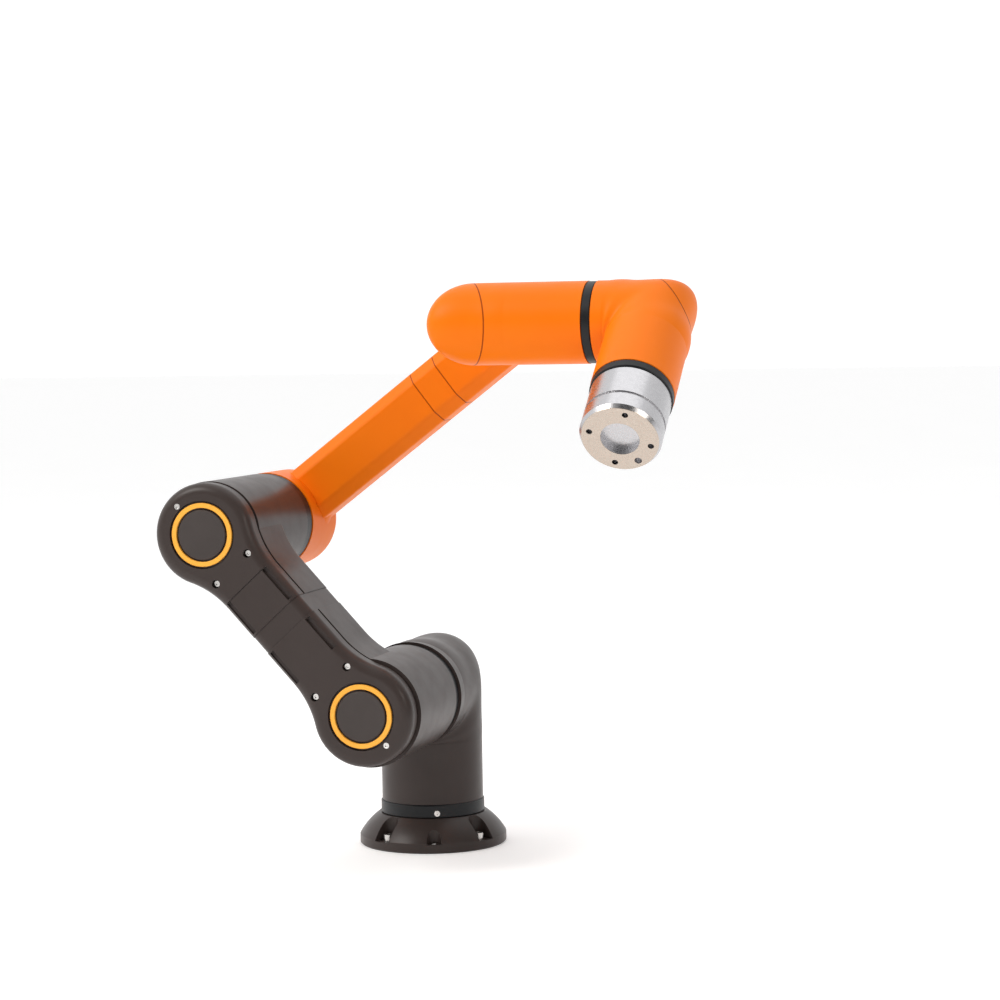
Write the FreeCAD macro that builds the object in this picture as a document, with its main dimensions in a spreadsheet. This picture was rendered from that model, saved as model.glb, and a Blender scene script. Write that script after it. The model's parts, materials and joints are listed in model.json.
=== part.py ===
"""Six-axis collaborative robot arm, standing on its base flange.

Frame: origin at the centre of the base's mounting face, +Z up along joint 1, joints 2, 3 and 4
parallel to Y, and the two ring-lit faces of the upper arm looking along -Y. Millimetres.
The arm rests with its elbow raised to -X and its wrist held out to +X above the base.
"""
import FreeCAD, Part
import math
import os

import Sketcher
from FreeCAD import Placement, Rotation, Vector

SIZES = {
    # rest pose
    "shoulder_height": 142.0,
    "upper_arm_length": 207.0,
    "upper_arm_lean": 42.4,
    "forearm_length": 289.0,
    "forearm_lean": 52.7,
    "wrist_one_reach": 154.4,
    "wrist_two_reach": 154.2,
    "tool_tilt": 52.9,
    "facing_turn": 17.5,
    # joints
    "joint_gap": 0.3,
    "hub_gap": 1.0,
    "gear_recess": 2.5,
    "gear_web": 8.0,
    "motor_bevel": 4.0,
    "ring_bevel": 0.8,
    "chip_length": 6.0,
    "chip_width": 8.0,
    "cavity_gap": 3.0,
    "shaft_bore": 7.0,
    "hub_bore": 9.0,
    "board_thick": 1.6,
    "chip_height": 3.0,
    "chip_sink": 0.2,
    "chip_place": 0.6,
    "board_inset": 3.0,
    "hub_shoulder": 5.0,
    "large_bore": 39.0,
    "large_gear_length": 20.0,
    "large_motor_radius": 31.0,
    "large_motor_length": 36.0,
    "large_hub_length": 7.0,
    "large_spigot": 24.0,
    "spigot_gap": 2.0,
    "small_bore": 27.5,
    "small_gear_length": 16.0,
    "small_motor_radius": 22.5,
    "small_motor_length": 30.0,
    "small_hub_length": 6.0,
    "small_spigot": 17.0,
    "ring_one_length": 11.7,
    "ring_one_radius": 47.0,
    "ring_two_length": 12.0,
    "ring_two_radius": 45.2,
    "ring_three_length": 15.0,
    "ring_three_radius": 43.8,
    "ring_wrist_length": 8.0,
    "ring_wrist_radius": 34.2,
    "ring_screw_turn": 4.0,
    "ring_screw_inset": 1.0,
    "ring_screw_height": 4.4,
    "ring_screw_head": 1.8,
    "ring_screw_shank": 4.0,
    # base
    "rim_radius": 66.7,
    "rim_height": 9.0,
    "rim_bevel": 1.5,
    "base_height": 28.5,
    "base_top_radius": 49.0,
    "base_slope_bulge": 58.0,
    "base_cavity_radius": 36.0,
    "plate_thick": 3.0,
    "plate_radius": 44.0,
    "plate_hole_radius": 10.0,
    "pocket_floor": 8.0,
    "base_bolt_circle": 56.5,
    "base_bolt_radius": 3.0,
    "base_shank_radius": 3.3,
    "base_hole_radius": 3.6,
    "bolt_head_radius": 5.0,
    "bolt_head_height": 6.0,
    "bolt_reach_below": 12.0,
    "pocket_radius": 8.5,
    "pin_circle": 62.0,
    "pin_radius": 2.5,
    "pin_reach": 4.0,
    "pin_pocket_circle": 65.0,
    "pin_pocket_radius": 6.5,
    "socket_start": 40.5,
    "socket_radius": 6.5,
    "socket_wall": 1.5,
    "socket_collar": 1.5,
    "socket_collar_start": 60.0,
    "socket_collar_length": 3.0,
    "socket_depth": 10.0,
    "socket_height": 17.0,
    "socket_pin_radius": 0.7,
    "socket_pin_circle": 3.0,
    # shoulder
    "shoulder_radius": 46.0,
    "shoulder_front": 63.0,
    "shoulder_front_radius": 47.6,
    "shoulder_edge_round": 18.0,
    "shoulder_screw_turn": 34.0,
    "shoulder_screw_inset": 8.0,
    "lock_screw_sink": 0.9,
    "lock_screw_foot": 1.5,
    "lock_screw_head": 2.0,
    "lock_screw_shank": 1.0,
    "lock_screw_hole": 3.5,
    "bend_offset": 1.0,
    # upper arm
    "arm_front": 202.0,
    "arm_part_line": 182.0,
    "arm_back": 115.0,
    "arm_end_radius": 44.0,
    "arm_half_width": 28.0,
    "arm_flare": 80.0,
    "arm_wall": 5.0,
    "arm_front_round": 9.0,
    "arm_back_round": 12.0,
    "arm_neck_radius": 46.6,
    "elbow_neck_radius": 44.6,
    "arm_bore_depth": 60.0,
    "band_width": 18.0,
    "band_inset": 0.5,
    "seam_inset": 2.2,
    "seam_width": 3.4,
    "lid_web": 3.0,
    "ring_inner": 23.1,
    "ring_outer": 27.3,
    "ring_recess": 29.2,
    "ring_disc": 21.4,
    "ring_depth": 3.0,
    "light_bevel": 0.4,
    "disc_bevel": 0.6,
    "groove_width": 4.4,
    "groove_depth": 3.4,
    "groove_place": 22.0,
    "groove_start": 58.0,
    "groove_stop": 2.0,
    "cross_seam_width": 0.9,
    "cross_seam_depth": 0.7,
    "cover_screw_radius": 2.6,
    "cover_seat_radius": 3.6,
    "cover_shank_radius": 1.5,
    "cover_screw_head": 1.6,
    "cover_screw_shank": 3.0,
    "screw_overlap": 0.5,
    "key_floor": 0.45,
    # forearm
    "elbow_front": 43.0,
    "elbow_back": 30.0,
    "elbow_round": 11.0,
    "elbow_floor": 9.0,
    "elbow_cap_line": 16.0,
    "elbow_cap_width": 92.0,
    "tube_half_height": 26.2,
    "tube_half_depth": 22.0,
    "tube_bevel": 10.0,
    "tube_edge_round": 5.0,
    "tube_centre": 3.2,
    "tube_room": 18.0,
    "collar_start": 183.0,
    "collar_end": 209.0,
    "wrist_radius": 34.6,
    "fork_front": 58.0,
    "fork_back": 28.0,
    "fork_round": 14.0,
    "fork_cap_depth": 11.0,
    "fork_floor": 6.0,
    "stub_floor": 12.0,
    # wrist
    "wrist_one_ring": 101.3,
    "wrist_two_ring": 95.0,
    "wrist_one_edge_round": 16.0,
    "wrist_two_edge_round": 12.0,
    "wrist_one_bore_depth": 52.5,
    "wrist_bore_depth": 20.0,
    "cap_zone": 150.0,
    "cap_turn": 29.0,
    "tip_cap_turn": 42.0,
    "tip_cap_depth": 18.0,
    # tool flange
    "flange_end": 153.3,
    "flange_radius": 33.2,
    "flange_face_radius": 31.0,
    "flange_bolt_circle": 25.0,
    "flange_thread_radius": 2.5,
    "flange_thread_depth": 10.0,
    "flange_pin_radius": 3.0,
    "flange_pin_depth": 6.0,
    "flange_groove_start": 20.0,
    "flange_groove_end": 17.0,
    "flange_groove_depth": 1.0,
    "flange_bevel_start": 3.6,
    "flange_bevel": 0.6,
    "flange_recess_radius": 15.75,
    "flange_recess_depth": 6.5,
    "flange_turn": 72.3,
    "flange_pin_turn": -62.7,
    # wiring
    "wire_radius": 4.0,
    "wire_bend": 14.0,
    "wire_depth": 150.0,
    "wire_start": 14.0,
    "wire_stop": 66.0,
    "wire_elbow_start": 20.0,
    "wire_far_gap": 32.0,
}

doc = FreeCAD.newDocument("cobot_arm")
sheet = doc.addObject("Spreadsheet::Sheet", "Sizes")
for row, (word, number) in enumerate(SIZES.items(), 1):
    sheet.set(f"A{row}", word)
    sheet.set(f"B{row}", str(number))
    sheet.setAlias(f"B{row}", word)
doc.recompute()


FRONT, BACK, UP, DOWN, RIGHT = (0, -1, 0), (0, 1, 0), (0, 0, 1), (0, 0, -1), (1, 0, 0)
# how far apart two lengths or directions may be and still count as the same
NEARLY = 1e-4


# ---------------------------------------------------------------- small helpers
def bound(words):
    """An expression on the sheet, from size names and arithmetic."""
    out = []
    for token in words.replace("(", "( ").replace(")", " )").split():
        out.append("Sizes." + token if token in SIZES else token)
    return " ".join(out)


def value(words):
    """What such an expression comes to now."""
    return float(sheet.evalExpression(bound(words)))


def at(x=0.0, y=0.0, z=0.0):
    return Placement(Vector(x, y, z), Rotation())


def turn(axis, degrees):
    return Placement(Vector(), Rotation(Vector(*axis), degrees))


def facing(origin, along, side):
    """A placement at origin whose local Z runs along one direction and X along another."""
    z = Vector(*along)
    x = Vector(*side)
    return Placement(Vector(*origin), Rotation(x, z.cross(x), z, "ZXY"))


def cylinder(name, radius, length, place=Placement()):
    item = doc.addObject("Part::Cylinder", name)
    item.setExpression("Radius", bound(radius))
    item.setExpression("Height", bound(length))
    item.Placement = place
    return item


def cone(name, radius_low, radius_high, length, place=Placement()):
    item = doc.addObject("Part::Cone", name)
    item.setExpression("Radius1", bound(radius_low))
    item.setExpression("Radius2", bound(radius_high))
    item.setExpression("Height", bound(length))
    item.Placement = place
    return item


def ball(name, radius, place=Placement()):
    item = doc.addObject("Part::Sphere", name)
    item.setExpression("Radius", bound(radius))
    item.Placement = place
    return item


def box(name, length, width, height, place=Placement()):
    """A block centred on its local X and Y axes, standing on its local XY plane."""
    item = doc.addObject("Part::Box", name)
    item.setExpression("Length", bound(length))
    item.setExpression("Width", bound(width))
    item.setExpression("Height", bound(height))
    item.Placement = place * at(-value(length) / 2, -value(width) / 2)
    return item


def fuse(name, items, place=Placement()):
    item = doc.addObject("Part::MultiFuse", name)
    item.Shapes = items
    item.Refine = True
    item.Placement = place
    return item


def cut(name, base, tools, place=Placement()):
    """The base without the tools."""
    item = doc.addObject("Part::Cut", name)
    item.Base = base
    item.Tool = tools[0] if len(tools) == 1 else fuse(name + "_tools", tools)
    item.Refine = True
    item.Placement = place
    return item


def common(name, first, second, place=Placement()):
    item = doc.addObject("Part::Common", name)
    item.Base = first
    item.Tool = second
    item.Placement = place
    return item


def rounded(name, base, radius, picks, place=Placement()):
    """The base with those of its edges rounded whose shape the test picks."""
    doc.recompute()
    size = value(radius)
    edges = [(n, size, size) for n, edge in enumerate(base.Shape.Edges, 1) if picks(edge)]
    item = doc.addObject("Part::Fillet", name)
    item.Base = base
    item.Edges = edges
    item.Placement = place
    return item


def turned(name, profile, place=Placement()):
    """A body turned about its local Z axis from (radius, height) corners, all zero or more.

    A corner may carry a third word, the radius of the arc that leads to it from the one before,
    which bulges away from the axis.
    """
    body = doc.addObject("PartDesign::Body", name)
    sketch = body.newObject("Sketcher::SketchObject", name + "_profile")
    plane = next(f for f in body.Origin.OriginFeatures if f.Role == "XZ_Plane")
    sketch.AttachmentSupport = (plane, [""])
    sketch.MapMode = "FlatFace"
    points = [Vector(value(corner[0]), value(corner[1]), 0) for corner in profile]
    count = len(profile)
    for n in range(count):
        start, end = points[n], points[(n + 1) % count]
        arc = profile[(n + 1) % count][2:]
        if not arc:
            sketch.addGeometry(Part.LineSegment(start, end), False)
            continue
        radius = value(arc[0])
        half = (end - start).multiply(0.5)
        rise = radius - math.sqrt(radius**2 - half.Length**2)
        outward = Vector(half.y, -half.x, 0).normalize()
        middle = start + half + outward * rise
        sketch.addGeometry(Part.Arc(start, middle, end), False)
    starts = [corner_end(sketch, n, points[n]) for n in range(count)]
    for n in range(count):
        ends = 3 - starts[n]
        after = (n + 1) % count
        sketch.addConstraint(Sketcher.Constraint("Coincident", n, ends, after, starts[after]))
    for n, corner in enumerate(profile):
        for kind, axis, words in (("DistanceX", -2, corner[0]), ("DistanceY", -1, corner[1])):
            if words == "0":
                sketch.addConstraint(Sketcher.Constraint("PointOnObject", n, starts[n], axis))
                continue
            rule = Sketcher.Constraint(kind, -1, 1, n, starts[n], value(words))
            number = sketch.addConstraint(rule)
            sketch.setExpression(f"Constraints[{number}]", bound(words))
        arc = profile[(n + 1) % count][2:]
        if arc:
            number = sketch.addConstraint(Sketcher.Constraint("Radius", n, value(arc[0])))
            sketch.setExpression(f"Constraints[{number}]", bound(arc[0]))
    spin = body.newObject("PartDesign::Revolution", name + "_turn")
    spin.Profile = sketch
    spin.ReferenceAxis = (sketch, ["V_Axis"])
    spin.Angle = 360
    body.Tip = spin
    body.Placement = place
    return body


def corner_end(sketch, number, point):
    """Which end of a sketch element, 1 or 2, lies at the point."""
    return 1 if sketch.getPoint(number, 1).distanceToPoint(point) < NEARLY else 2


def link_block(name, end_radius, half_width, flare, height, place=Placement()):
    """A padded link outline: two round ends on the X axis joined by a waist with flared sides."""
    body = doc.addObject("PartDesign::Body", name)
    sketch = body.newObject("Sketcher::SketchObject", name + "_outline")
    plane = next(f for f in body.Origin.OriginFeatures if f.Role == "XY_Plane")
    sketch.AttachmentSupport = (plane, [""])
    sketch.MapMode = "FlatFace"
    end, half, bend, reach = (value(w) for w in (end_radius, half_width, flare, "upper_arm_length"))
    along = math.sqrt((end + bend) ** 2 - (half + bend) ** 2)
    lean = math.degrees(math.atan2(half + bend, along))

    def arc(x, y, radius, low, high):
        circle = Part.Circle(Vector(x, y, 0), Vector(0, 0, 1), radius)
        return Part.ArcOfCircle(circle, math.radians(low), math.radians(high))

    far = reach - along
    pieces = [
        arc(0, 0, end, lean, 360 - lean),
        arc(along, -half - bend, bend, 90, 180 - lean),
        Part.LineSegment(Vector(along, -half, 0), Vector(far, -half, 0)),
        arc(far, -half - bend, bend, lean, 90),
        arc(reach, 0, end, lean - 180, 180 - lean),
        arc(far, half + bend, bend, 270, 360 - lean),
        Part.LineSegment(Vector(far, half, 0), Vector(along, half, 0)),
        arc(along, half + bend, bend, 180 + lean, 270),
    ]
    for piece in pieces:
        sketch.addGeometry(piece, False)
    joins = [(0, 2, 1, 2), (1, 1, 2, 1), (2, 2, 3, 2), (3, 1, 4, 1),
             (4, 2, 5, 2), (5, 1, 6, 1), (6, 2, 7, 2), (7, 1, 0, 1)]
    for join in joins:
        sketch.addConstraint(Sketcher.Constraint("Tangent", *join))
    sketch.addConstraint(Sketcher.Constraint("Coincident", 0, 3, -1, 1))
    sketch.addConstraint(Sketcher.Constraint("PointOnObject", 4, 3, -1))
    sketch.addConstraint(Sketcher.Constraint("Horizontal", 2))
    sketch.addConstraint(Sketcher.Constraint("Horizontal", 6))
    for kind, places, words in (
        ("DistanceX", (-1, 1, 4, 3), "upper_arm_length"),
        ("Radius", (0,), end_radius),
        ("Radius", (4,), end_radius),
        ("Radius", (1,), flare),
        ("Radius", (3,), flare),
        ("Radius", (5,), flare),
        ("Radius", (7,), flare),
        ("DistanceY", (-1, 1, 6, 1), half_width),
        ("DistanceY", (2, 1, -1, 1), half_width),
    ):
        number = sketch.addConstraint(Sketcher.Constraint(kind, *places, value(words)))
        sketch.setExpression(f"Constraints[{number}]", bound(words))
    pad = body.newObject("PartDesign::Pad", name + "_pad")
    pad.Profile = sketch
    pad.setExpression("Length", bound(height))
    body.Tip = pad
    body.Placement = place
    return body


kept = []


def part(item, label):
    """Marks an object as a finished piece under its own label."""
    item.Label = label
    kept.append(item)
    return item


def piece(label, make, *arguments, **options):
    """Makes an object under its final label and keeps it."""
    return part(make(label, *arguments, **options), label)


# ---------------------------------------------------------------- places of the joints
lean = math.radians(value("upper_arm_lean"))
rise = math.radians(value("forearm_lean"))
tilt = math.radians(value("tool_tilt"))
arm_way = (-math.sin(lean), 0.0, math.cos(lean))
fore_way = (math.sin(rise), 0.0, math.cos(rise))
tool_way = (0.0, -math.sin(tilt), -math.cos(tilt))
shoulder = Vector(0, 0, value("shoulder_height"))
elbow = shoulder + Vector(*arm_way) * value("upper_arm_length")
fork = elbow + Vector(*fore_way) * value("forearm_length")
knuckle = Vector(fork.x, -value("wrist_one_reach"), fork.z)
tip = knuckle + Vector(value("wrist_two_reach"), 0, 0)

arm = facing(shoulder, FRONT, arm_way)
fore = facing(elbow, FRONT, fore_way)
tool = facing(tip, tool_way, RIGHT)

# each drive's frame: origin on the end face of the housing that holds the motor, Z towards the hub
drive_frames = {
    1: facing((0, 0, value("base_height + ring_one_length + joint_gap")), DOWN, RIGHT),
    2: facing((0, -value("shoulder_front"), shoulder.z), FRONT, RIGHT),
    3: facing((elbow.x, -value("elbow_front + ring_three_length"), elbow.z), BACK, RIGHT),
    4: facing((fork.x, -value("fork_front"), fork.z), FRONT, RIGHT),
    5: facing((knuckle.x + value("wrist_one_ring"), knuckle.y, knuckle.z), RIGHT, UP),
    6: tool * at(0, 0, value("wrist_two_ring")),
}
ring_lengths = {1: "ring_one_length", 2: "ring_two_length", 3: "ring_three_length"}
ring_radii = {1: "ring_one_radius", 2: "ring_two_radius", 3: "ring_three_radius"}


def drive_size(number):
    return "large" if number <= 3 else "small"


def ring_length(number):
    return ring_lengths.get(number, "ring_wrist_length")


def hub_start(number):
    """How far past the motor housing's face the hub housing's face lies."""
    return f"({ring_length(number)} + joint_gap)"


# ---------------------------------------------------------------- joint drives
def drive(number):
    """The sealed drive of one joint: motor, strain-wave gear, board, output hub and seal ring."""
    size = drive_size(number)
    place = drive_frames[number]
    gear, motor = f"{size}_gear_length", f"{size}_motor_length"
    gear_back = -value(gear)
    motor_back = gear_back - value(motor)
    piece(
        f"joint_{number}_gear_unit", turned,
        [("shaft_bore", "0"), (f"{size}_bore", "0"), (f"{size}_bore", gear),
         (f"{size}_spigot", gear), (f"{size}_spigot", f"{gear} - gear_recess"),
         ("hub_bore", f"{gear} - gear_recess"), ("hub_bore", "gear_web"), ("shaft_bore", "gear_web")],
        place=place * at(z=gear_back),
    )
    piece(
        f"joint_{number}_motor", turned,
        [("shaft_bore", "0"), (f"{size}_motor_radius - motor_bevel", "0"),
         (f"{size}_motor_radius", "motor_bevel"), (f"{size}_motor_radius", motor), ("shaft_bore", motor)],
        place=place * at(z=motor_back),
    )
    board_place = place * at(z=motor_back - value("board_thick"))
    board = cylinder(f"joint_{number}_board_disc", f"{size}_motor_radius - board_inset",
                     "board_thick", board_place)
    opening = cylinder(f"joint_{number}_board_hole", "shaft_bore", "board_thick", board_place)
    chips = [
        box(f"joint_{number}_chip_{n}", "chip_length", "chip_width", "chip_height + chip_sink",
            board_place * turn(UP, 90 * n)
            * at(x=value(f"{size}_motor_radius * chip_place"), z=-value("chip_height")))
        for n in range(4)
    ]
    plate = cut(f"joint_{number}_board_plate", board, [opening])
    piece(f"joint_{number}_drive_board", fuse, [plate] + chips)
    seat = f"{ring_length(number)} + gear_recess"
    piece(
        f"joint_{number}_output_hub", turned,
        [("shaft_bore", "0"), (f"{size}_spigot - spigot_gap", "0"), (f"{size}_spigot - spigot_gap", seat),
         (f"{size}_bore", seat), (f"{size}_bore", f"{seat} + {size}_hub_length"),
         ("shaft_bore", f"{seat} + {size}_hub_length")],
        place=place * at(z=value("joint_gap - gear_recess")),
    )
    ring_start = value("joint_gap") if number == 1 else 0.0
    ring_radius = ring_radii.get(number, "ring_wrist_radius")
    length = ring_length(number)
    ring = turned(
        f"joint_{number}_ring_blank",
        [(f"{size}_spigot", "0"), (f"{ring_radius} - ring_bevel", "0"), (ring_radius, "ring_bevel"),
         (ring_radius, f"{length} - ring_bevel"), (f"{ring_radius} - ring_bevel", length),
         (f"{size}_spigot", length)],
        place=place * at(z=ring_start),
    )
    if number == 1:
        screw_place = turn(UP, -90 + value("facing_turn + ring_screw_turn")) * facing(
            (value("ring_one_radius - ring_screw_inset"), 0, value("base_height + ring_screw_height")),
            RIGHT, UP)
        piece("base_ring_screw", socket_screw, "cover_screw_radius", "ring_screw_head",
              "cover_shank_radius", "ring_screw_shank", screw_place)
        seat = cylinder("ring_screw_seat", "cover_screw_radius", "ring_screw_shank", screw_place)
        hole = cylinder("ring_screw_hole", "cover_shank_radius", "ring_screw_shank + 1",
                        screw_place * at(z=-value("ring_screw_shank")))
        piece("joint_1_seal_ring", cut, ring, [seat, hole])
    else:
        part(ring, f"joint_{number}_seal_ring")


def motor_bore(number):
    """The room that one joint's drive takes inside its housing, as a stepped cutter."""
    size = drive_size(number)
    gear = f"{size}_gear_length"
    room = f"{size}_motor_length + board_thick + chip_height + cavity_gap"
    depth = f"{gear} + {room}"
    wide = cylinder(f"joint_{number}_gear_room", f"{size}_bore", f"{gear} + 1",
                    drive_frames[number] * at(z=-value(gear)))
    deep = cylinder(f"joint_{number}_motor_room", f"{size}_motor_radius + cavity_gap", f"{depth} + 1",
                    drive_frames[number] * at(z=-value(depth)))
    return [wide, deep]


def hub_bore(number, extra):
    """The room for one joint's hub in the housing that it turns, with extra depth behind it."""
    size = drive_size(number)
    start = value(hub_start(number))
    depth = f"hub_gap + {size}_hub_length"
    wide = cylinder(f"joint_{number}_hub_room", f"{size}_bore", f"{depth} + 1",
                    drive_frames[number] * at(z=start - 1))
    deep = cylinder(f"joint_{number}_hub_back", f"{size}_bore - hub_shoulder", extra,
                    drive_frames[number] * at(z=start + value(depth)))
    return [wide, deep]


# ---------------------------------------------------------------- bends
def bend(name, radius, edge_round, place):
    """The corner where two round legs along local +X and +Y meet, with its outer edge rounded."""
    size = value(radius)
    away = value(f"{radius} + bend_offset")
    reach = away + size
    straight = math.degrees(math.atan(1 - value(edge_round) / reach))
    crest = (reach - value(edge_round)) * math.sqrt(2) + value(edge_round)
    sections = []
    for n, angle in enumerate((0, straight / 2, straight, 45, 90 - straight, 90 - straight / 2, 90)):
        slant = math.cos(math.radians(min(angle, 90 - angle)))
        near = (away - size) / slant
        far = crest if angle == 45 else reach / slant
        way = Vector(-math.sin(math.radians(angle)), -math.cos(math.radians(angle)), 0)
        centre = Vector(away, away, 0) + way * ((near + far) / 2)
        section = doc.addObject("Part::Ellipse", f"{name}_section_{n}")
        section.MajorRadius = max((far - near) / 2, size)
        section.MinorRadius = size
        section.Placement = place * facing(centre, way.cross(Vector(*UP)), way)
        sections.append(section)
    item = doc.addObject("Part::Loft", name)
    item.Sections = sections
    item.Solid = True
    item.Ruled = False
    return item


# ---------------------------------------------------------------- screws
def socket_screw(name, head_radius, head_height, shank_radius, shank_length, place):
    """A socket-head screw whose head stands on the local XY plane, shank downwards."""
    key = f"{head_radius} * 0.5"
    head = cylinder(name + "_head", head_radius, head_height, place)
    shank = cylinder(name + "_shank", shank_radius, f"{shank_length} + screw_overlap",
                     place * at(z=-value(shank_length)))
    recess = doc.addObject("Part::Prism", name + "_key")
    recess.Polygon = 6
    recess.setExpression("Circumradius", bound(key))
    recess.setExpression("Height", bound(head_height))
    recess.Placement = place * at(z=value(f"{head_height} * key_floor"))
    return cut(name, fuse(name + "_blank", [head, shank]), [recess])


def group(label, items):
    """Identical small pieces kept as one node of separate solids."""
    item = doc.addObject("Part::Compound", label)
    item.Links = items
    return part(item, label)


# ---------------------------------------------------------------- base
FRONT_TURN = -90 + value("facing_turn")
BOLT_TURNS = [FRONT_TURN + 45 + 90 * n for n in range(4)]


def around_base(degrees, radius, height):
    return turn(UP, degrees) * at(radius, 0, height)


def base():
    hub_floor = "base_height - hub_gap - large_hub_length"
    flange = turned(
        "base_blank",
        [("plate_radius", "0"), ("rim_radius - rim_bevel", "0"), ("rim_radius", "rim_bevel"),
         ("rim_radius", "rim_height"), ("base_top_radius", "base_height", "base_slope_bulge"),
         ("large_bore", "base_height"), ("large_bore", hub_floor), ("base_cavity_radius", hub_floor),
         ("base_cavity_radius", "plate_thick"), ("plate_radius", "plate_thick")],
    )
    circle = value("base_bolt_circle")
    floor = value("pocket_floor")
    tools = []
    for n, degrees in enumerate(BOLT_TURNS):
        tools.append(cylinder(f"base_pocket_{n}", "pocket_radius", "base_height",
                              around_base(degrees, circle, floor)))
        tools.append(box(f"base_pocket_way_{n}", "2 * pocket_radius", "2 * pocket_radius", "base_height",
                         around_base(degrees, circle + value("pocket_radius"), floor)))
        tools.append(cylinder(f"base_hole_{n}", "base_hole_radius", "base_height",
                              around_base(degrees, circle, -1)))
    tools.append(cylinder("pin_pocket", "pin_pocket_radius", "base_height",
                          around_base(FRONT_TURN, value("pin_pocket_circle"), floor)))
    tools.append(cylinder("pin_hole", "pin_radius", "base_height",
                          around_base(FRONT_TURN, value("pin_circle"), -1)))
    rear = turn(UP, FRONT_TURN + 180)
    height = value("socket_height")
    tools.append(cylinder("socket_hole", "socket_radius", "rim_radius",
                          rear * facing((value("base_cavity_radius") - 1, 0, height), RIGHT, UP)))
    tools.append(cylinder("socket_seat", "socket_radius + socket_collar + joint_gap", "rim_radius",
                          rear * facing((value("socket_collar_start"), 0, height), RIGHT, UP)))
    piece("base_flange", cut, flange, tools)
    piece("base_bottom_plate", cut, cylinder("bottom_disc", "plate_radius", "plate_thick"),
          [cylinder("bottom_hole", "plate_hole_radius", "plate_thick")])
    group("base_mounting_bolts", [base_bolt(n, around_base(degrees, circle, 0))
                                  for n, degrees in enumerate(BOLT_TURNS)])
    piece("base_locating_pin", cylinder, "pin_radius", "pocket_floor + 1 + pin_reach",
          around_base(FRONT_TURN, value("pin_circle"), -value("pin_reach")))
    tail = "(socket_collar_start - socket_start)"
    end = f"{tail} + socket_collar_length"
    bore = "socket_radius - socket_wall"
    place = rear * facing((value("socket_start"), 0, height), RIGHT, UP)
    shell = turned(
        "socket_shell",
        [("0", "0"), ("socket_radius", "0"), ("socket_radius", tail),
         ("socket_radius + socket_collar", tail), ("socket_radius + socket_collar", end),
         (bore, end), (bore, f"{end} - socket_depth"),
         ("0", f"{end} - socket_depth")],
        place,
    )
    foot = value(f"{end} - socket_depth") - 1
    pins = [
        cylinder(f"socket_pin_{n}", "socket_pin_radius", "socket_depth - 1",
                 place * turn(UP, 60 * n) * at(x=value("socket_pin_circle"), z=foot))
        for n in range(6)
    ]
    piece("base_cable_socket", fuse, [shell] + pins)


def base_bolt(number, place):
    """A flange bolt: head on the pocket floor, plain shank in the flange, thread below the base."""
    name = f"base_bolt_{number}"
    top = place * at(z=value("pocket_floor"))
    head = socket_screw(name + "_top", "bolt_head_radius", "bolt_head_height", "base_shank_radius",
                        "pocket_floor", top)
    thread = cylinder(name + "_thread", "base_bolt_radius", "bolt_reach_below + 1",
                      place * at(z=-value("bolt_reach_below")))
    return fuse(name, [head, thread])


# ---------------------------------------------------------------- shoulder
def shoulder_link():
    start = value("base_height + ring_one_length + joint_gap")
    away = value("shoulder_radius + bend_offset")
    column = cylinder("shoulder_column", "shoulder_radius", str(shoulder.z - away - start), at(z=start))
    corner = bend("shoulder_bend", "shoulder_radius", "shoulder_edge_round",
                  facing(shoulder, (-1, 0, 0), DOWN))
    barrel = cone("shoulder_barrel", "shoulder_radius", "shoulder_front_radius",
                  f"shoulder_front - {away}", facing((0, -away, shoulder.z), FRONT, RIGHT))
    room = ball("shoulder_room", "large_bore - 1", at(z=shoulder.z))
    blank = fuse("shoulder_blank", [column, corner, barrel])
    hollow = cut("shoulder_hollow", blank, motor_bore(1) + motor_bore(2) + [room])
    screw_place = turn_about(shoulder, FRONT, value("shoulder_screw_turn")) * facing(
        (0, -value("shoulder_front - shoulder_screw_inset"),
         shoulder.z + value("shoulder_front_radius - lock_screw_sink")), UP, RIGHT)
    hole = cylinder("shoulder_screw_hole", "cover_screw_radius", "2 * lock_screw_hole",
                    screw_place * at(z=-value("lock_screw_hole")))
    piece("shoulder_housing", cut, hollow, [hole])
    piece("shoulder_lock_screw", socket_screw, "cover_screw_radius", "lock_screw_head",
          "cover_shank_radius", "lock_screw_shank", screw_place * at(z=-value("lock_screw_foot")))


def turn_about(point, axis, degrees):
    """A turn about an axis through a point."""
    return Placement(Vector(), Rotation(Vector(*axis), degrees), point)


# ---------------------------------------------------------------- upper arm
MIDDLE = value("upper_arm_length") / 2
HALF_BAND = value("band_width") / 2
# longer than anything here, for blocks that stand for half spaces
FAR = 400


def half_space(name, low, high):
    """A wide block across the arm between two distances along it."""
    return box(name, str(high - low), str(FAR), str(FAR), arm * at(x=(low + high) / 2))


def arm_half(label, blank, end):
    """The part of an upper-arm blank on one side of the mid band."""
    low, high = (-FAR, MIDDLE - HALF_BAND) if end == "lower" else (MIDDLE + HALF_BAND, FAR)
    return common(label, blank, half_space(label + "_side", low, high))


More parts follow.
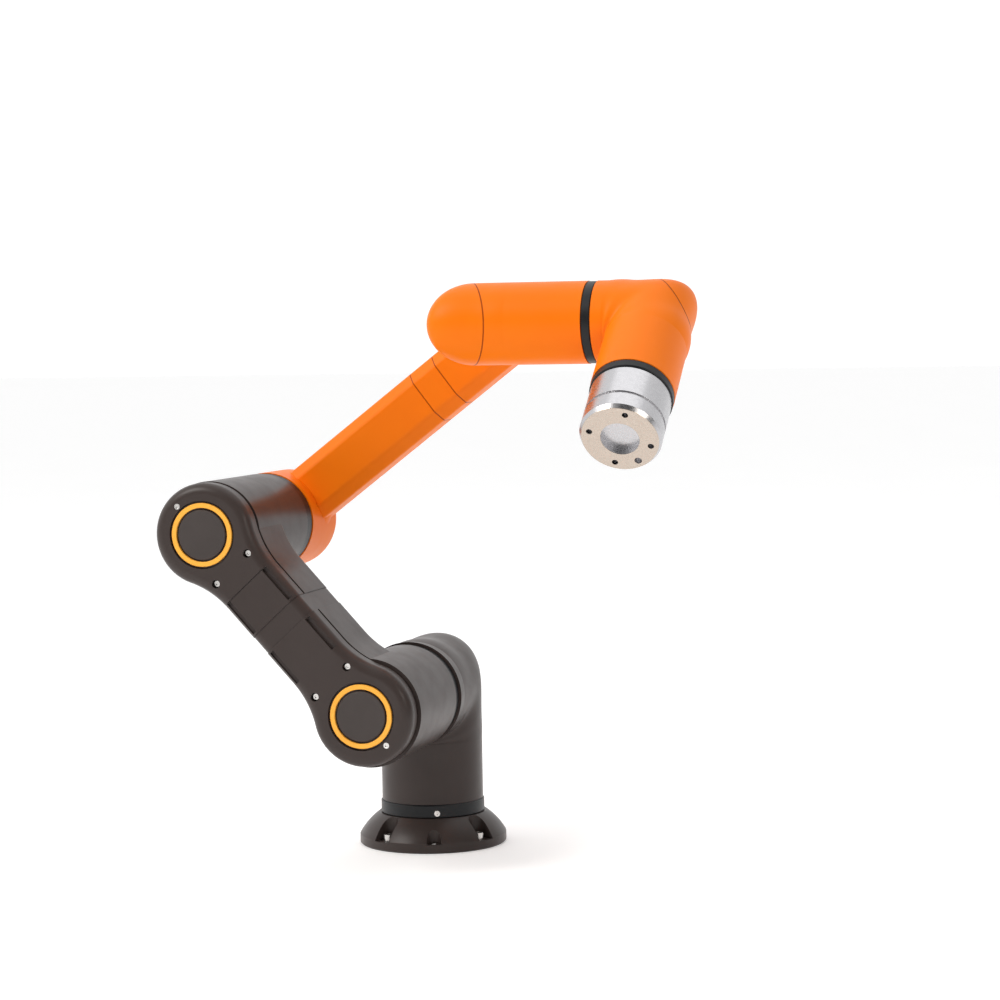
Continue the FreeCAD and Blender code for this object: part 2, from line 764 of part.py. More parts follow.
def upper_arm():
    back, front, part_line = value("arm_back"), value("arm_front"), value("arm_part_line")
    half_seam = value("seam_width") / 2
    wall = "arm_wall"
    gaskets, all_screws, lights = [], [], []
    for end, x, number in (("lower", 0.0, 2), ("upper", value("upper_arm_length"), 3)):
        block = link_block(f"{end}_casting_block", "arm_end_radius", "arm_half_width", "arm_flare",
                           "arm_part_line - seam_width / 2 - arm_back", arm * at(z=back))
        soft = rounded(f"{end}_casting_soft", block, "arm_back_round", on_plane(arm, back))
        if number == 2:
            start, round_size = "(shoulder_front + ring_two_length + joint_gap)", "arm_neck_radius"
            rooms = hub_bore(2, "arm_bore_depth")
        else:
            start, round_size = "(elbow_front + ring_three_length)", "elbow_neck_radius"
            rooms = motor_bore(3)
        neck = cylinder(f"{end}_neck", round_size, f"arm_part_line - seam_width / 2 - {start}",
                        arm * at(x, 0, value(start)))
        blank = fuse(f"{end}_casting_blank", [soft, neck])
        inside = link_block(f"{end}_casting_room", f"arm_end_radius - {wall}", f"arm_half_width - {wall}",
                            f"arm_flare + {wall}", f"arm_part_line - arm_back - {wall}",
                            arm * at(z=back + value(wall)))
        hollow = cut(f"{end}_casting_hollow", blank, rooms + [inside])
        part(arm_half(f"upper_arm_{end}_casting", hollow, end), f"upper_arm_{end}_casting")

        seam = link_block(f"{end}_gasket_block", "arm_end_radius - seam_inset",
                          "arm_half_width - seam_inset", "arm_flare + seam_inset", "seam_width",
                          arm * at(z=part_line - half_seam))
        gap = link_block(f"{end}_gasket_room", f"arm_end_radius - {wall}", f"arm_half_width - {wall}",
                         f"arm_flare + {wall}", "seam_width", arm * at(z=part_line - half_seam))
        gaskets.append(arm_half(f"{end}_gasket", cut(f"{end}_gasket_loop", seam, [gap]), end))

        lid = link_block(f"{end}_cover_block", "arm_end_radius", "arm_half_width", "arm_flare",
                         "arm_front - arm_part_line - seam_width / 2", arm * at(z=part_line + half_seam))
        soft_lid = rounded(f"{end}_cover_soft", lid, "arm_front_round", on_plane(arm, front))
        under = link_block(f"{end}_cover_room", f"arm_end_radius - {wall}", f"arm_half_width - {wall}",
                           f"arm_flare + {wall}", f"arm_front - arm_part_line - {wall} - lid_web",
                           arm * at(z=part_line))
        tools = [under, cylinder(f"{end}_ring_seat", "ring_recess", "ring_depth + 1",
                                 arm * at(x, 0, front - value("ring_depth")))]
        tools += cover_grooves(end)
        screws, holes = cover_screws(end, x)
        lid_half = arm_half(f"{end}_cover_half", cut(f"{end}_cover_cut", soft_lid, tools), end)
        piece(f"upper_arm_{end}_cover", cut, lid_half, holes)
        all_screws += screws

        ring_place = arm * at(x, 0, front - value("ring_depth"))
        lights.append(turned(
            f"joint_{number}_light_ring",
            [("ring_inner", "0"), ("ring_outer", "0"), ("ring_outer", "ring_depth - light_bevel"),
             ("ring_outer - light_bevel", "ring_depth"), ("ring_inner + light_bevel", "ring_depth"),
             ("ring_inner", "ring_depth - light_bevel")], place=ring_place))
        piece(f"joint_{number}_cap_disc", turned,
              [("0", "0"), ("ring_disc", "0"), ("ring_disc", "ring_depth - disc_bevel"),
               ("ring_disc - disc_bevel", "ring_depth"), ("0", "ring_depth")], place=ring_place)

    group("upper_arm_cover_gaskets", gaskets)
    group("upper_arm_cover_screws", all_screws)
    group("upper_arm_light_rings", lights)
    inset = value("band_inset")
    band = link_block("band_block", "arm_end_radius", "arm_half_width - band_inset", "arm_flare",
                      "arm_front - arm_back - 2 * band_inset", arm * at(z=back + inset))
    band_soft = rounded("band_soft", band, "arm_front_round - band_inset", on_plane(arm, front - inset))
    band_softer = rounded("band_softer", band_soft, "arm_back_round - band_inset",
                          on_plane(arm, back + inset))
    band_room = link_block("band_room", f"arm_end_radius - {wall}", f"arm_half_width - {wall}",
                           f"arm_flare + {wall}", f"arm_front - arm_back - 2 * {wall} - lid_web",
                           arm * at(z=back + value(wall)))
    slab = half_space("band_slab", MIDDLE - HALF_BAND, MIDDLE + HALF_BAND)
    piece("upper_arm_mid_band", common, cut("band_hollow", band_softer, [band_room]), slab)


def on_plane(frame, height):
    """A test for edges that lie in the plane at a height in a frame."""
    back_to_local = frame.inverse()

    def test(edge):
        heights = [back_to_local.multVec(edge.valueAt(t)).z
                   for t in (edge.FirstParameter, edge.LastParameter,
                             (edge.FirstParameter + edge.LastParameter) / 2)]
        return all(abs(h - height) < NEARLY for h in heights)

    return test


def cover_grooves(end):
    """The two long shallow grooves along a cover's flat face, and the upper cover's fine cross seam."""
    top = value("arm_front")
    edge = HALF_BAND + value("groove_stop")
    if end == "lower":
        low, high = value("groove_start"), MIDDLE - edge
    else:
        low, high = MIDDLE + edge, value("upper_arm_length - groove_start")
    tools = [
        box(f"{end}_groove_{side}", str(high - low), "groove_width", "groove_depth + 1",
            arm * at((low + high) / 2, side * value("groove_place"), top - value("groove_depth")))
        for side in (-1, 1)
    ]
    if end == "upper":
        tools.append(box("cross_seam", "cross_seam_width", "2 * arm_half_width", "cross_seam_depth + 1",
                         arm * at(high, 0, top - value("cross_seam_depth"))))
    return tools


# along the link from a joint axis, across it, how deep the head sits, and its seat
TIP_SCREW = (-32.6, 0.0, 0.4, "cover_screw_radius")
SIDE_SCREWS = [(39.0, 19.5, 3.6, "cover_seat_radius"), (39.0, -19.5, 3.6, "cover_seat_radius")]


def cover_screws(end, x):
    """The small cover screws of one end, and the holes that they sit in."""
    inward = 1 if end == "lower" else -1
    spots = [TIP_SCREW] + SIDE_SCREWS
    screws, holes = [], []
    for n, (along, across, sunk, seat) in enumerate(spots):
        place = arm * at(x + inward * along, across, value("arm_front") - sunk)
        name = f"{end}_cover_screw_{n}"
        foot = place * at(z=-value("cover_screw_head"))
        screws.append(socket_screw(name, "cover_screw_radius", "cover_screw_head", "cover_shank_radius",
                                   "cover_screw_shank", foot))
        holes.append(cylinder(name + "_seat", seat, "arm_front - arm_part_line", foot))
        holes.append(cylinder(name + "_bore", "cover_shank_radius", "2 * cover_screw_shank",
                              foot * at(z=-value("cover_screw_shank"))))
    return screws, holes


# ---------------------------------------------------------------- forearm
# the elbow's flare: distance along the forearm, half height and half depth
FLARE = [(26, 35.0, 31.0), (31, 31.6, 27.4), (36, 28.4, 24.4), (42, 26.3, 22.4), (50, 25.2, 21.2)]


def forearm():
    reach = value("forearm_length")
    front = value("elbow_front - joint_gap")
    depth = "(elbow_front - joint_gap + elbow_back)"
    elbow_place = facing((elbow.x, -front, elbow.z), BACK, fore_way)
    along = fore * facing((0, 0, value("tube_centre")), RIGHT, (0, 1, 0))
    shell = turned(
        "elbow_shell",
        [("0", "0"), ("elbow_neck_radius", "0"), ("elbow_neck_radius", f"{depth} - elbow_round"),
         ("elbow_neck_radius - elbow_round", depth, "elbow_round"), ("0", depth)],
        elbow_place,
    )
    flare = doc.addObject("Part::Loft", "elbow_flare")
    flare.Sections = [flare_section(n, *row) for n, row in enumerate(FLARE)]
    flare.Solid = True
    flare.Ruled = False
    blank = fuse("elbow_blank", [shell, flare, tube_block("forearm_bar", "collar_start", along)])
    room = cylinder("elbow_room", "large_bore - 1", f"{depth} - hub_gap - large_hub_length - elbow_floor",
                    elbow_place * at(z=value("hub_gap + large_hub_length")))
    bar_room = cylinder("forearm_bar_room", "tube_room", "collar_start + 1", along)
    hollow = cut("elbow_hollow", blank, hub_bore(3, "arm_wall") + [room, bar_room])
    cap_place = facing((elbow.x, value("elbow_cap_line"), elbow.z), BACK, fore_way)
    split_cap("elbow", "forearm_casting", "elbow_rear_cap", hollow, cap_place, "elbow_cap_width")

    collar = tube_block("collar_bar", "collar_end - collar_start", along * at(z=value("collar_start")))
    collar_room = cylinder("collar_room", "tube_room", "collar_end", along * at(z=1))
    piece("forearm_collar", cut, collar, [collar_room])

    fork_place = facing((fork.x, -value("fork_front"), fork.z), BACK, fore_way)
    fork_depth = "(fork_front + fork_back)"
    barrel = turned(
        "fork_barrel",
        [("0", "0"), ("wrist_radius", "0"), ("wrist_radius", f"{fork_depth} - fork_round"),
         ("wrist_radius - fork_round", fork_depth, "fork_round"), ("0", fork_depth)],
        fork_place,
    )
    stub = tube_block("fork_stub", "forearm_length - collar_end", along * at(z=value("collar_end")))
    fork_blank = fuse("fork_blank", [barrel, stub])
    fork_room = cylinder("fork_room", "small_bore", f"{fork_depth} - fork_floor - small_gear_length",
                         fork_place * at(z=value("small_gear_length")))
    stub_room = cylinder("stub_room", "tube_room", "forearm_length - collar_end - stub_floor",
                         along * at(z=value("collar_end") - 1))
    fork_hollow = cut("fork_hollow", fork_blank, motor_bore(4) + [fork_room, stub_room])
    cap_place = facing((fork.x, value("fork_back - fork_cap_depth"), fork.z), BACK, fore_way)
    split_cap("fork", "forearm_wrist_housing", "forearm_wrist_cap", fork_hollow, cap_place,
              "elbow_cap_width")


def flare_section(number, x, half_height, half_depth):
    """One ellipse of the elbow's flare, across the forearm."""
    item = doc.addObject("Part::Ellipse", f"flare_section_{number}")
    item.MajorRadius = half_height
    item.MinorRadius = half_depth
    item.Placement = fore * facing((x, 0, value("tube_centre")), RIGHT, (0, 1, 0))
    return item


def tube_block(name, length, place):
    """A length of the forearm's eight-sided bar, its long edges softened."""
    block = box(name + "_block", "2 * tube_half_height", "2 * tube_half_depth", length, place)
    doc.recompute()
    size = value("tube_bevel")
    bevelled = doc.addObject("Part::Chamfer", name + "_bevelled")
    bevelled.Base = block
    bevelled.Edges = [(n, size, size) for n, edge in enumerate(block.Shape.Edges, 1)
                      if runs_along(edge, place)]
    return rounded(name, bevelled, "tube_edge_round", lambda edge: runs_along(edge, place))


def runs_along(edge, place):
    """Whether a straight edge lies along a frame's Z axis."""
    way = (edge.valueAt(edge.LastParameter) - edge.valueAt(edge.FirstParameter)).normalize()
    return abs(way.dot(place.Rotation.multVec(Vector(*UP)))) > 1 - NEARLY


def split_cap(name, body_label, cap_label, hollow, place, width="cap_zone"):
    """Splits a hollow housing at a plane into its casting and the end cap on the plane's +Z side."""
    zones = [box(f"{name}_{side}_zone", width, width, "cap_zone", place) for side in ("body", "cap")]
    piece(body_label, cut, hollow, [zones[0]])
    piece(cap_label, common, hollow, zones[1])


# ---------------------------------------------------------------- wrists
def wrist_one():
    start = value("fork_front + ring_wrist_length + joint_gap")
    away = value("wrist_radius + bend_offset")
    leg = cylinder("wrist_one_leg", "wrist_radius", str(value("wrist_one_reach") - away - start),
                   facing((fork.x, -start, fork.z), FRONT, RIGHT))
    corner = bend("wrist_one_bend", "wrist_radius", "wrist_one_edge_round", facing(knuckle, UP, RIGHT))
    barrel = cylinder("wrist_one_barrel", "wrist_radius", f"wrist_one_ring - {away}",
                      facing((knuckle.x + away, knuckle.y, knuckle.z), RIGHT, UP))
    room = ball("wrist_one_room", "small_bore", Placement(knuckle, Rotation()))
    hollow = cut("wrist_one_hollow", fuse("wrist_one_blank", [leg, corner, barrel]),
                 hub_bore(4, "wrist_one_bore_depth") + motor_bore(5) + [room])
    place = Placement(knuckle, turn(UP, value("cap_turn")).Rotation) * facing((0, 0, 0), (-1, 0, 0), UP)
    split_cap("wrist_one", "wrist_one_housing", "wrist_one_cap", hollow, place)


def wrist_two():
    barrel_start = value("wrist_one_ring + ring_wrist_length + joint_gap")
    away = value("wrist_radius + bend_offset")
    barrel = cylinder("wrist_two_barrel", "wrist_radius",
                      str(value("wrist_two_reach") - away - barrel_start),
                      facing((knuckle.x + barrel_start, knuckle.y, knuckle.z), RIGHT, UP))
    corner = bend("wrist_two_bend", "wrist_radius", "wrist_two_edge_round",
                  facing(tip, (0, tool_way[2], -tool_way[1]), (-1, 0, 0)))
    leg = cylinder("wrist_two_leg", "wrist_radius", f"wrist_two_ring - {away}", tool * at(z=away))
    room = ball("wrist_two_room", "small_bore", Placement(tip, Rotation()))
    hollow = cut("wrist_two_hollow", fuse("wrist_two_blank", [barrel, corner, leg]),
                 hub_bore(5, "wrist_bore_depth") + motor_bore(6) + [room])
    angle = math.radians(value("tip_cap_turn"))
    across = Vector(math.cos(angle), 0, 0) - Vector(*tool_way) * math.sin(angle)
    place = facing(tip + across * value("tip_cap_depth"), tuple(across), (0, -tool_way[2], tool_way[1]))
    split_cap("wrist_two", "wrist_two_housing", "wrist_two_cap", hollow, place)


# ---------------------------------------------------------------- tool flange
def tool_flange():
    length = "(flange_end - wrist_two_ring - ring_wrist_length - joint_gap)"
    blank = turned(
        "flange_blank",
        [("0", "0"), ("flange_radius - flange_bevel", "0"), ("flange_radius", "flange_bevel"),
         ("flange_radius", f"{length} - flange_groove_start"),
         ("flange_radius - flange_groove_depth", f"{length} - flange_groove_start"),
         ("flange_radius - flange_groove_depth", f"{length} - flange_groove_end"),
         ("flange_radius", f"{length} - flange_groove_end"),
         ("flange_radius", f"{length} - flange_bevel_start"), ("flange_face_radius", length),
         ("flange_recess_radius", length), ("flange_recess_radius", f"{length} - flange_recess_depth"),
         ("0", f"{length} - flange_recess_depth")],
        tool * at(z=value("wrist_two_ring + ring_wrist_length + joint_gap")),
    )
    circle = value("flange_bolt_circle")
    face = value("flange_end")
    tools = hub_bore(6, "wrist_bore_depth")
    for n in range(4):
        place = tool * turn(UP, value("flange_turn") + 90 * n)
        tools.append(cylinder(f"flange_thread_{n}", "flange_thread_radius", "flange_thread_depth + 1",
                              place * at(circle, 0, face - value("flange_thread_depth"))))
    tools.append(cylinder("flange_pin_hole", "flange_pin_radius", "flange_pin_depth + 1",
                          tool * turn(UP, value("flange_pin_turn"))
                          * at(circle, 0, face - value("flange_pin_depth"))))
    piece("tool_flange", cut, blank, tools)


# ---------------------------------------------------------------- wiring
def harness(label, points, radius, bend):
    """A round bundle along straight runs joined by tangent arcs of one radius."""
    edges = []
    last = points[0]
    for before, point, after in zip(points, points[1:], points[2:]):
        inward = (before - point).normalize()
        onward = (after - point).normalize()
        half = inward.getAngle(onward) / 2
        back_off = bend / math.tan(half)
        start, end = point + inward * back_off, point + onward * back_off
        centre_way = (inward + onward).normalize()
        middle = point + centre_way * (bend / math.sin(half) - bend)
        edges.append(Part.LineSegment(last, start).toShape())
        edges.append(Part.Arc(start, middle, end).toShape())
        last = end
    edges.append(Part.LineSegment(last, points[-1]).toShape())
    spine = Part.Wire(edges)
    way = (points[1] - points[0]).normalize()
    ring = Part.Wire([Part.Circle(points[0], way, radius).toShape()])
    item = doc.addObject("Part::Feature", label)
    item.Shape = spine.makePipeShell([ring], True, False)
    return part(item, label)


def wiring():
    radius, bend_radius, depth = value("wire_radius"), value("wire_bend"), value("wire_depth")
    length = value("upper_arm_length")
    lower_end = arm.multVec(Vector(0, 0, value("shoulder_front + ring_two_length + wire_start")))
    upper_end = arm.multVec(Vector(length, 0, value("elbow_front + ring_three_length + wire_stop")))
    harness("upper_arm_wiring",
            [lower_end, arm.multVec(Vector(0, 0, depth)), arm.multVec(Vector(length, 0, depth)),
             upper_end], radius, bend_radius)
    centre = value("tube_centre")
    far_end = value("forearm_length - wire_far_gap")
    harness("forearm_wiring",
            [fore.multVec(Vector(0, 0, value("wire_elbow_start"))), fore.multVec(Vector(0, 0, centre)),
             fore.multVec(Vector(far_end, 0, centre))], radius, bend_radius)


for joint in range(1, 7):
    drive(joint)
base()
shoulder_link()
upper_arm()
forearm()
wrist_one()
wrist_two()
tool_flange()
wiring()
doc.recompute()

failed = [o.Name for o in doc.Objects if "Invalid" in o.State or "Error" in o.State]
if failed:
    raise SystemExit("these objects failed: " + ", ".join(failed))
os.makedirs("parts", exist_ok=True)
for item in kept:
    if item.Shape.isNull() or not item.Shape.isValid():
        raise SystemExit(f"{item.Label} has no valid shape")
for item in kept:
    item.Shape.exportStep(f"parts/{item.Label}.step")
print(len(kept), "pieces")
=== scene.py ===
"""Looks for the six-joint robot arm: materials, joint lines, studio and camera."""
import json
import math

import bpy
from mathutils import Matrix, Vector


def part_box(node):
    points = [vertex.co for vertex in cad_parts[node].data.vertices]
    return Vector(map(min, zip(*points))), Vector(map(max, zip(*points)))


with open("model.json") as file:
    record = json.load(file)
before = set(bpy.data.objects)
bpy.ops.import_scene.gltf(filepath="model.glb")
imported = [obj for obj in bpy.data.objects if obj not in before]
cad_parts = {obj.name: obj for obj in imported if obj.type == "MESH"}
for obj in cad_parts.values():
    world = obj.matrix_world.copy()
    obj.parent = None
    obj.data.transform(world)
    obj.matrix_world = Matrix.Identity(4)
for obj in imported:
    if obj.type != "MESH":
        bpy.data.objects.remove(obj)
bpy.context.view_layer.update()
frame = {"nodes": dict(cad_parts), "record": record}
nodes = frame["nodes"]
scene = bpy.context.scene

# ---------------------------------------------------------------- material helpers
MM = 0.001
WHITE = (1, 1, 1, 1)
# how far the normals run round the edges of castings, mouldings and bare metal
CASTING_EDGE = 0.5 * MM
MOULDED_EDGE = 0.3 * MM
METAL_EDGE = 0.25 * MM
# a joint line's dark middle, where it fades out, how deep it looks and its tone
SEAM_CORE = 0.25 * MM
SEAM_EDGE = 0.7 * MM
SEAM_STRENGTH = 0.6
SEAM_SHADE = (0.42, 0.30, 0.25, 1)
# noise keeps near its middle, so these stretch it to the whole range
SOFT_NOISE = (0.35, 0.65)
FINE_NOISE = (0.3, 0.7)


def new_material(name):
    """An empty node material with its principled shader and its node tools."""
    material = bpy.data.materials.new(name)
    material.use_nodes = True
    tree = material.node_tree
    shader = tree.nodes["Principled BSDF"]
    return material, tree, shader


def add(tree, kind, **settings):
    """A node of a kind with its attributes set."""
    node = tree.nodes.new(kind)
    for key, setting in settings.items():
        setattr(node, key, setting)
    return node


def noise(tree, scale, detail=3.0, roughness=0.55):
    """Noise in the object's own coordinates, in cycles per metre."""
    place = add(tree, "ShaderNodeTexCoord")
    node = add(tree, "ShaderNodeTexNoise")
    node.inputs["Scale"].default_value = scale
    node.inputs["Detail"].default_value = detail
    node.inputs["Roughness"].default_value = roughness
    tree.links.new(place.outputs["Object"], node.inputs["Vector"])
    return node.outputs["Fac"]


def set_range(node, low, high, out_low, out_high):
    """Sets a Map Range node's two ranges."""
    numbers = (low, high, out_low, out_high)
    for name, number in zip(("From Min", "From Max", "To Min", "To Max"), numbers):
        node.inputs[name].default_value = number


def spread(tree, source, low, high, out_low, out_high):
    """Maps a value from one range to another, held at the ends."""
    node = add(tree, "ShaderNodeMapRange")
    set_range(node, low, high, out_low, out_high)
    tree.links.new(source, node.inputs["Value"])
    return node.outputs["Result"]


def mix_colour(tree, source, first, second):
    """A colour between two by a value."""
    node = add(tree, "ShaderNodeMix", data_type="RGBA")
    node.inputs["A"].default_value = (*first, 1)
    node.inputs["B"].default_value = (*second, 1)
    tree.links.new(source, node.inputs["Factor"])
    return node.outputs["Result"]


def rounded_edges(tree, radius):
    """Normals that run softly round sharp edges."""
    node = add(tree, "ShaderNodeBevel", samples=4)
    node.inputs["Radius"].default_value = radius
    return node.outputs["Normal"]


def bump(tree, height, strength, distance, normal):
    """Normals raised by a height, on top of other normals."""
    node = add(tree, "ShaderNodeBump")
    node.inputs["Strength"].default_value = strength
    node.inputs["Distance"].default_value = distance
    tree.links.new(height, node.inputs["Height"])
    tree.links.new(normal, node.inputs["Normal"])
    return node.outputs["Normal"]


def along(tree, way):
    """How far a point of the surface lies along a direction from the frame's origin."""
    place = add(tree, "ShaderNodeTexCoord")
    node = add(tree, "ShaderNodeVectorMath", operation="DOT_PRODUCT")
    node.inputs[1].default_value = way
    tree.links.new(place.outputs["Object"], node.inputs[0])
    return node.outputs["Value"]


def seam_mask(tree, point, way):
    """One on a thin line where the plane through the point cuts the surface, zero away from it."""
    offset = add(tree, "ShaderNodeMath", operation="SUBTRACT")
    offset.inputs[1].default_value = Vector(point).dot(way)
    tree.links.new(along(tree, way), offset.inputs[0])
    distance = add(tree, "ShaderNodeMath", operation="ABSOLUTE")
    tree.links.new(offset.outputs["Value"], distance.inputs[0])
    return spread(tree, distance.outputs["Value"], SEAM_CORE, SEAM_EDGE, 1.0, 0.0)


def with_seams(base, name, seams):
    """A copy of a paint with dark, slightly sunk joint lines where two shells meet."""
    material = base.copy()
    material.name = name
    tree = material.node_tree
    shader = tree.nodes["Principled BSDF"]
    for point, way in seams:
        mask = seam_mask(tree, point, way)
        colour = shader.inputs["Base Color"].links[0].from_socket
        line = add(tree, "ShaderNodeMix", data_type="RGBA", blend_type="MULTIPLY")
        line.inputs["B"].default_value = SEAM_SHADE
        tree.links.new(mask, line.inputs["Factor"])
        tree.links.new(colour, line.inputs["A"])
        tree.links.new(line.outputs["Result"], shader.inputs["Base Color"])
        normal = shader.inputs["Normal"].links[0].from_socket
        sunk = add(tree, "ShaderNodeBump", invert=True)
        sunk.inputs["Strength"].default_value = SEAM_STRENGTH
        sunk.inputs["Distance"].default_value = SEAM_EDGE
        tree.links.new(mask, sunk.inputs["Height"])
        tree.links.new(normal, sunk.inputs["Normal"])
        tree.links.new(sunk.outputs["Normal"], shader.inputs["Normal"])
    return material


def paint(name, colour, shade, roughness, shine, grain):
    """Sprayed paint on a casting: slow colour drift, fine orange peel, soft edges."""
    material, tree, shader = new_material(name)
    drift = spread(tree, noise(tree, 14.0), *SOFT_NOISE, 0.0, 1.0)
    tree.links.new(mix_colour(tree, drift, colour, shade), shader.inputs["Base Color"])
    rough = spread(tree, noise(tree, 60.0), *FINE_NOISE, roughness - 0.035, roughness + 0.035)
    tree.links.new(rough, shader.inputs["Roughness"])
    peel = bump(tree, noise(tree, grain, 2.0), 0.08, 0.0004, rounded_edges(tree, CASTING_EDGE))
    tree.links.new(peel, shader.inputs["Normal"])
    shader.inputs["Specular IOR Level"].default_value = shine
    return material


def plastic(name, colour, shade, roughness, grain=900.0, strength=0.12):
    """Moulded plastic or rubber with a fine texture."""
    material, tree, shader = new_material(name)
    drift = spread(tree, noise(tree, 30.0), *SOFT_NOISE, 0.0, 1.0)
    tree.links.new(mix_colour(tree, drift, colour, shade), shader.inputs["Base Color"])
    texture = noise(tree, grain, 4.0)
    tree.links.new(spread(tree, texture, *FINE_NOISE, roughness - 0.05, roughness + 0.05),
                   shader.inputs["Roughness"])
    tree.links.new(bump(tree, texture, strength, 0.0002, rounded_edges(tree, MOULDED_EDGE)),
                   shader.inputs["Normal"])
    shader.inputs["Specular IOR Level"].default_value = 0.3
    return material


def metal(name, colour, shade, roughness, scratch=400.0):
    """Bare metal with fine tool marks."""
    material, tree, shader = new_material(name)
    marks = noise(tree, scratch, 6.0, 0.7)
    tree.links.new(mix_colour(tree, spread(tree, marks, *FINE_NOISE, 0, 1), colour, shade),
                   shader.inputs["Base Color"])
    tree.links.new(spread(tree, marks, *FINE_NOISE, roughness - 0.06, roughness + 0.06),
                   shader.inputs["Roughness"])
    tree.links.new(bump(tree, marks, 0.02, 0.0001, rounded_edges(tree, METAL_EDGE)),
                   shader.inputs["Normal"])
    shader.inputs["Metallic"].default_value = 1.0
    return material


def turned_flange(name, colour, floor_reflection_tint, roughness, face_start):
    """Turned aluminium: fine rings round the tool axis and a warm painted reflection of the floor
    on the end face.
    """
    material = metal(name, colour, tuple(0.92 * level for level in colour), roughness)
    tree = material.node_tree
    shader = tree.nodes["Principled BSDF"]
    depth = along(tree, TOOL_WAY)
    rings = add(tree, "ShaderNodeTexNoise", noise_dimensions="1D")
    rings.inputs["Scale"].default_value = 900.0
    rings.inputs["Detail"].default_value = 2.0
    tree.links.new(depth, rings.inputs["W"])
    normal = shader.inputs["Normal"].links[0].from_socket
    tree.links.new(bump(tree, rings.outputs["Fac"], 0.12, 0.0001, normal), shader.inputs["Normal"])
    # the end face is multiplied by a warm colour: a painted reflection of a warm floor, not the
    # metal's own colour
    on_face = spread(tree, depth, face_start - 0.2 * MM, face_start, 0.0, 1.0)
    painted_reflection = add(tree, "ShaderNodeMix", data_type="RGBA", blend_type="MULTIPLY")
    painted_reflection.inputs["B"].default_value = (*floor_reflection_tint, 1)
    tree.links.new(on_face, painted_reflection.inputs["Factor"])
    tree.links.new(shader.inputs["Base Color"].links[0].from_socket, painted_reflection.inputs["A"])
    tree.links.new(painted_reflection.outputs["Result"], shader.inputs["Base Color"])
    return material


# ---------------------------------------------------------------- places from the record
JOINTS = {joint["name"]: joint for joint in frame["record"]["behaviour"]["joints"]}
MOUNTS = {mount["name"]: mount for mount in frame["record"]["mounts"]}
ELBOW = Vector(JOINTS["joint_3"]["pos_m"])
FORK = Vector(JOINTS["joint_4"]["pos_m"])
WRIST_ONE_CORNER = Vector(JOINTS["joint_5"]["pos_m"])
WRIST_TWO_CORNER = Vector(JOINTS["joint_6"]["pos_m"])
TOOL_WAY = Vector(JOINTS["joint_6"]["axis"]).normalized()
FACE_START = Vector(MOUNTS["tool_face"]["pos_m"]).dot(TOOL_WAY) - 0.3 * MM

# ---------------------------------------------------------------- materials by slot
CHARCOAL = (0.048, 0.036, 0.033)
CHARCOAL_SHADE = (0.043, 0.032, 0.029)
ORANGE = (0.89, 0.188, 0.003)
ORANGE_SHADE = (0.87, 0.178, 0.003)
AMBER = (1.0, 0.47, 0.06)
AMBER_SHADE = (0.98, 0.43, 0.05)

MATERIALS = {
    "dark_casting": paint("charcoal_paint", CHARCOAL, CHARCOAL_SHADE, 0.36, 0.24, 900.0),
    "dark_cap": plastic("charcoal_plastic", (0.057, 0.046, 0.043), (0.051, 0.041, 0.038), 0.5),
    "orange_casting": paint("orange_paint", ORANGE, ORANGE_SHADE, 0.4, 0.12, 800.0),
    "orange_cap": paint("orange_cap_paint", ORANGE, ORANGE_SHADE, 0.4, 0.12, 800.0),
    "ring_plastic": plastic("amber_light_guide", AMBER, AMBER_SHADE, 0.35, 500.0, 0.03),
    "seal_rubber": plastic("black_rubber", (0.006, 0.007, 0.008), (0.009, 0.010, 0.012), 0.4),
    # (1.0, 0.87, 0.73) is the painted warm floor reflection on the flange's end face
    "machined_aluminium": turned_flange("turned_aluminium", (0.53, 0.525, 0.54),
                                        (1.0, 0.87, 0.73), 0.28, FACE_START),
    "wire_sleeve": plastic("wire_sleeve", (0.02, 0.02, 0.02), (0.03, 0.03, 0.03), 0.7),
    "circuit_board": plastic("circuit_board", (0.02, 0.14, 0.05), (0.02, 0.11, 0.04), 0.4),
    "socket_plastic": plastic("socket_plastic", (0.02, 0.02, 0.022), (0.025, 0.025, 0.028), 0.5),
    "motor_body": metal("motor_can", (0.35, 0.35, 0.36), (0.3, 0.3, 0.31), 0.4),
    "gear_steel": metal("ground_steel", (0.42, 0.42, 0.43), (0.38, 0.38, 0.39), 0.3),
    "bright_steel": metal("plated_steel", (0.72, 0.70, 0.68), (0.62, 0.6, 0.58), 0.25),
    "dark_steel": metal("black_oxide", (0.06, 0.06, 0.06), (0.045, 0.045, 0.045), 0.45),
}

for part in frame["record"]["subparts"]:
    node = nodes[part["node"]]
    node.data.materials.clear()
    node.data.materials.append(MATERIALS[part["material_slot"]])

# ---------------------------------------------------------------- joint lines between the shells
FOREARM_WAY = (FORK - ELBOW).normalized()
COLLAR_START = 183.0 * MM
COLLAR_END = 209.0 * MM
CAP_TURN = math.radians(29.0)
CAP_WAY = Vector((-math.cos(CAP_TURN), -math.sin(CAP_TURN), 0))
TIP_TURN = math.radians(42.0)
TIP_WAY = Vector((math.cos(TIP_TURN), 0, 0)) - TOOL_WAY * math.sin(TIP_TURN)
TIP_DEPTH = 18.0 * MM
REAR_CAP_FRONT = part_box("forearm_wrist_cap")[0].y

